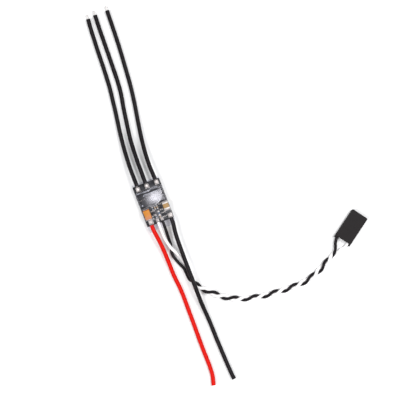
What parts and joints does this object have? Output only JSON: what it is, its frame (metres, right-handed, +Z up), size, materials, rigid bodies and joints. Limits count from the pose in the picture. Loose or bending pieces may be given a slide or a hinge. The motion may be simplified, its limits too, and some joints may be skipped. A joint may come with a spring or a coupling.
{
  "type": "electronic speed controller",
  "caption": "Small brushless motor speed controller in a clear shrink sleeve, with phase leads, a red and black power pair and a twisted signal pair ending in a servo-style plug.",
  "frame": {"origin": "under the middle of the shrink sleeve, on the surface it lies on", "axes": "+Y along the board towards the phase leads, +X across the board, +Z up from the surface"},
  "size_m": [0.0885, 0.1679, 0.0046],
  "materials": {
    "laminate": "dark solder mask, satin",
    "clear_film": "clear shrink film, glossy",
    "chip_moulding": "moulded package, fine matte",
    "tantalum_resin": "orange moulded resin, satin",
    "ceramic_chip": "tan fired ceramic with metal ends",
    "resistor_chip": "dark glazed chip with metal ends",
    "solder": "bright solder",
    "black_silicone": "black silicone insulation, soft sheen",
    "red_silicone": "red silicone insulation, soft sheen",
    "white_silicone": "white silicone insulation, soft sheen",
    "plug_plastic": "black moulded plug, fine matte",
    "contact_brass": "tinned brass contact"
  },
  "bodies": {
    "root": {"heat_shrink_sleeve": "clear_film", "circuit_board": "laminate", "transistor_high_left": "chip_moulding", "transistor_high_middle": "chip_moulding", "transistor_high_right": "chip_moulding", "transistor_low_left": "chip_moulding", "transistor_low_middle": "chip_moulding", "transistor_low_right": "chip_moulding", "tantalum_capacitor": "tantalum_resin", "ceramic_capacitor": "ceramic_chip", "driver_pair_left": "chip_moulding", "driver_pair_middle": "chip_moulding", "driver_pair_right": "chip_moulding", "microcontroller": "chip_moulding", "voltage_regulator": "chip_moulding", "resonator": "ceramic_chip", "capacitor_1": "ceramic_chip", "capacitor_2": "ceramic_chip", "capacitor_3": "ceramic_chip", "capacitor_4": "ceramic_chip", "capacitor_5": "ceramic_chip", "capacitor_6": "ceramic_chip", "resistor_1": "resistor_chip", "resistor_2": "resistor_chip", "resistor_3": "resistor_chip", "resistor_4": "resistor_chip", "resistor_5": "resistor_chip", "resistor_6": "resistor_chip", "resistor_7": "resistor_chip", "solder_phase_left": "solder", "solder_phase_middle": "solder", "solder_phase_right": "solder", "solder_positive": "solder", "solder_negative": "solder", "solder_signal_white": "solder", "solder_signal_black": "solder", "tinned_tip_left": "solder", "tinned_tip_middle": "solder", "tinned_tip_right": "solder", "phase_lead_left": "black_silicone", "phase_lead_middle": "black_silicone", "phase_lead_right": "black_silicone", "power_lead_positive": "red_silicone", "power_lead_negative": "black_silicone", "signal_white_board_end": "white_silicone", "signal_white_plug_end": "white_silicone", "signal_pair_twisted": "white_silicone", "signal_black_board_end": "black_silicone", "signal_black_plug_end": "black_silicone", "plug_housing": "plug_plastic", "crimp_contact_black": "contact_brass", "crimp_contact_white": "contact_brass"}
  },
  "joints": []
}
